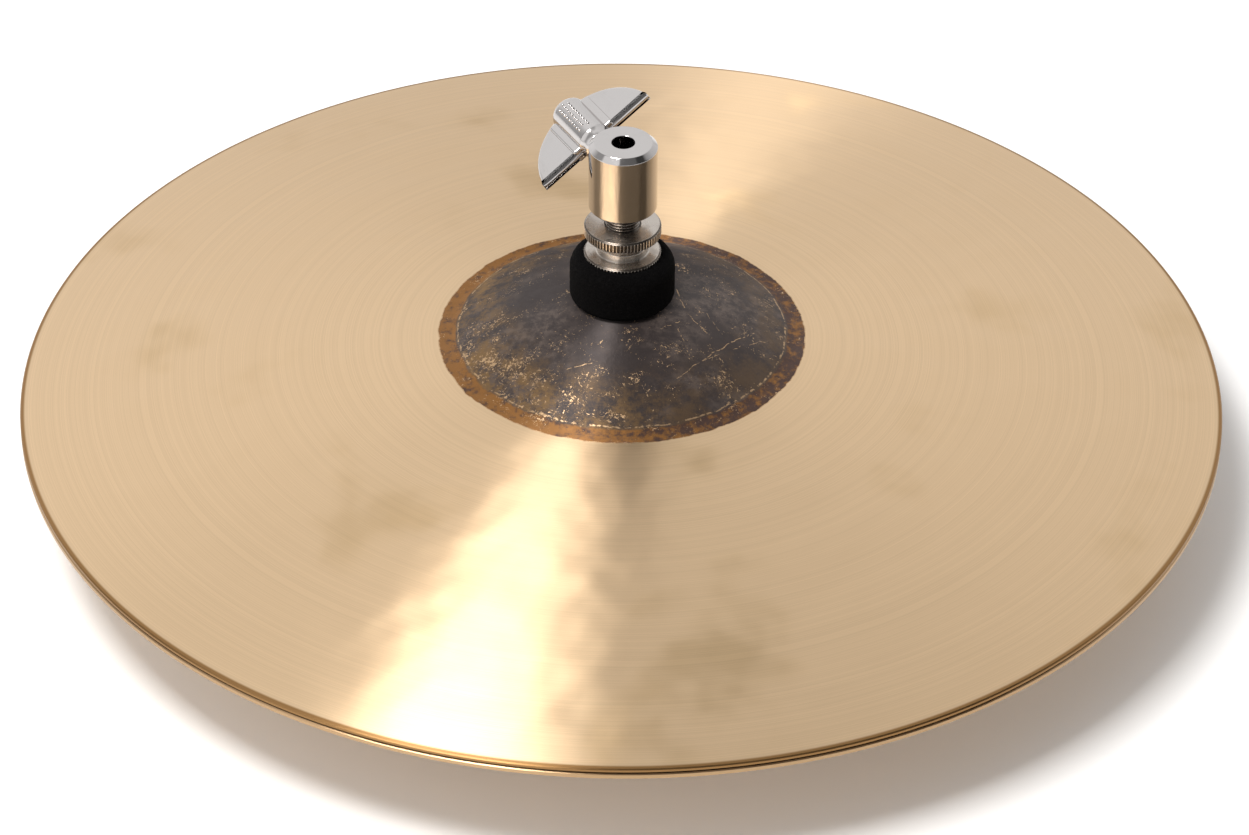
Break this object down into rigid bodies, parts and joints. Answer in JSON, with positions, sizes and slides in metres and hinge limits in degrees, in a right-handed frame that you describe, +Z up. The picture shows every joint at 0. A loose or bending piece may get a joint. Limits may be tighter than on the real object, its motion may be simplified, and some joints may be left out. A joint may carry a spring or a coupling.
{
  "type": "hi hat cymbals with clutch",
  "caption": "Pair of bronze hi hat cymbals, closed edge to edge, with a chromed clutch, felts, knurled nuts and a wing screw on the top one.",
  "frame": {"origin": "middle of the flat ring under the bottom cymbal's bell, on which the pair stands; the point is on the pedal rod's axis", "axes": "+Z up along the pedal rod's axis; +X to the player's right as seen from -Y"},
  "size_m": [0.356, 0.356, 0.1238],
  "materials": {
    "top_bronze": "lathed",
    "bottom_bronze": "lathed",
    "chrome": "polished",
    "nickel": "turned",
    "steel": "threaded",
    "felt": "felt"
  },
  "bodies": {
    "bottom": {"bottom_cymbal": "bottom_bronze"},
    "clutch": {"clutch_body": "chrome", "threaded_tube": "steel"},
    "top": {"top_cymbal": "top_bronze"},
    "felt_above": {"upper_felt": "felt"},
    "lock_nuts": {"lock_nut": "nickel", "jam_nut": "nickel"},
    "felt_below": {"lower_felt": "felt"},
    "nut_below": {"bottom_nut": "nickel"},
    "screw_shank": {"wing_shank": "steel"},
    "wing": {"wing_head": "chrome"}
  },
  "joints": [
    {"name": "hat_open", "type": "slide", "parent": "bottom", "child": "clutch", "axis": [0, 0, 1], "range_m": [0, 0.05]},
    {"name": "top_spin", "type": "hinge", "parent": "clutch", "child": "top", "pos_m": [0, 0, 0.03567], "axis": [0, 0, 1], "continuous": true},
    {"name": "felt_above_slide", "type": "slide", "parent": "clutch", "child": "felt_above", "axis": [0, 0, 1], "range_m": [0, 0.005]},
    {"name": "lock_nuts_turn", "type": "hinge", "parent": "felt_above", "child": "lock_nuts", "pos_m": [0, 0, 0.08027], "axis": [0, 0, 1], "range_deg": [0, 1800]},
    {"name": "felt_below_slide", "type": "slide", "parent": "clutch", "child": "felt_below", "axis": [0, 0, -1], "range_m": [0, 0.008]},
    {"name": "bottom_nut_turn", "type": "hinge", "parent": "felt_below", "child": "nut_below", "pos_m": [0, 0, 0.05267], "axis": [0, 0, -1], "range_deg": [0, 2880]},
    {"name": "screw_travel", "type": "slide", "parent": "clutch", "child": "screw_shank", "axis": [-0.4848, 0.8746, 0], "range_m": [-0.0006, 0.005]},
    {"name": "wing_turn", "type": "hinge", "parent": "screw_shank", "child": "wing", "pos_m": [-0.00776, 0.01399, 0.11187], "axis": [-0.4848, 0.8746, 0], "range_deg": [-216, 1800]}
  ],
  "couplings": [
    {"joint": "felt_above_slide", "follows": "lock_nuts_turn", "m_per_rad": 0.00015915},
    {"joint": "felt_below_slide", "follows": "bottom_nut_turn", "m_per_rad": 0.00015915},
    {"joint": "screw_travel", "follows": "wing_turn", "m_per_rad": 0.00015915}
  ]
}
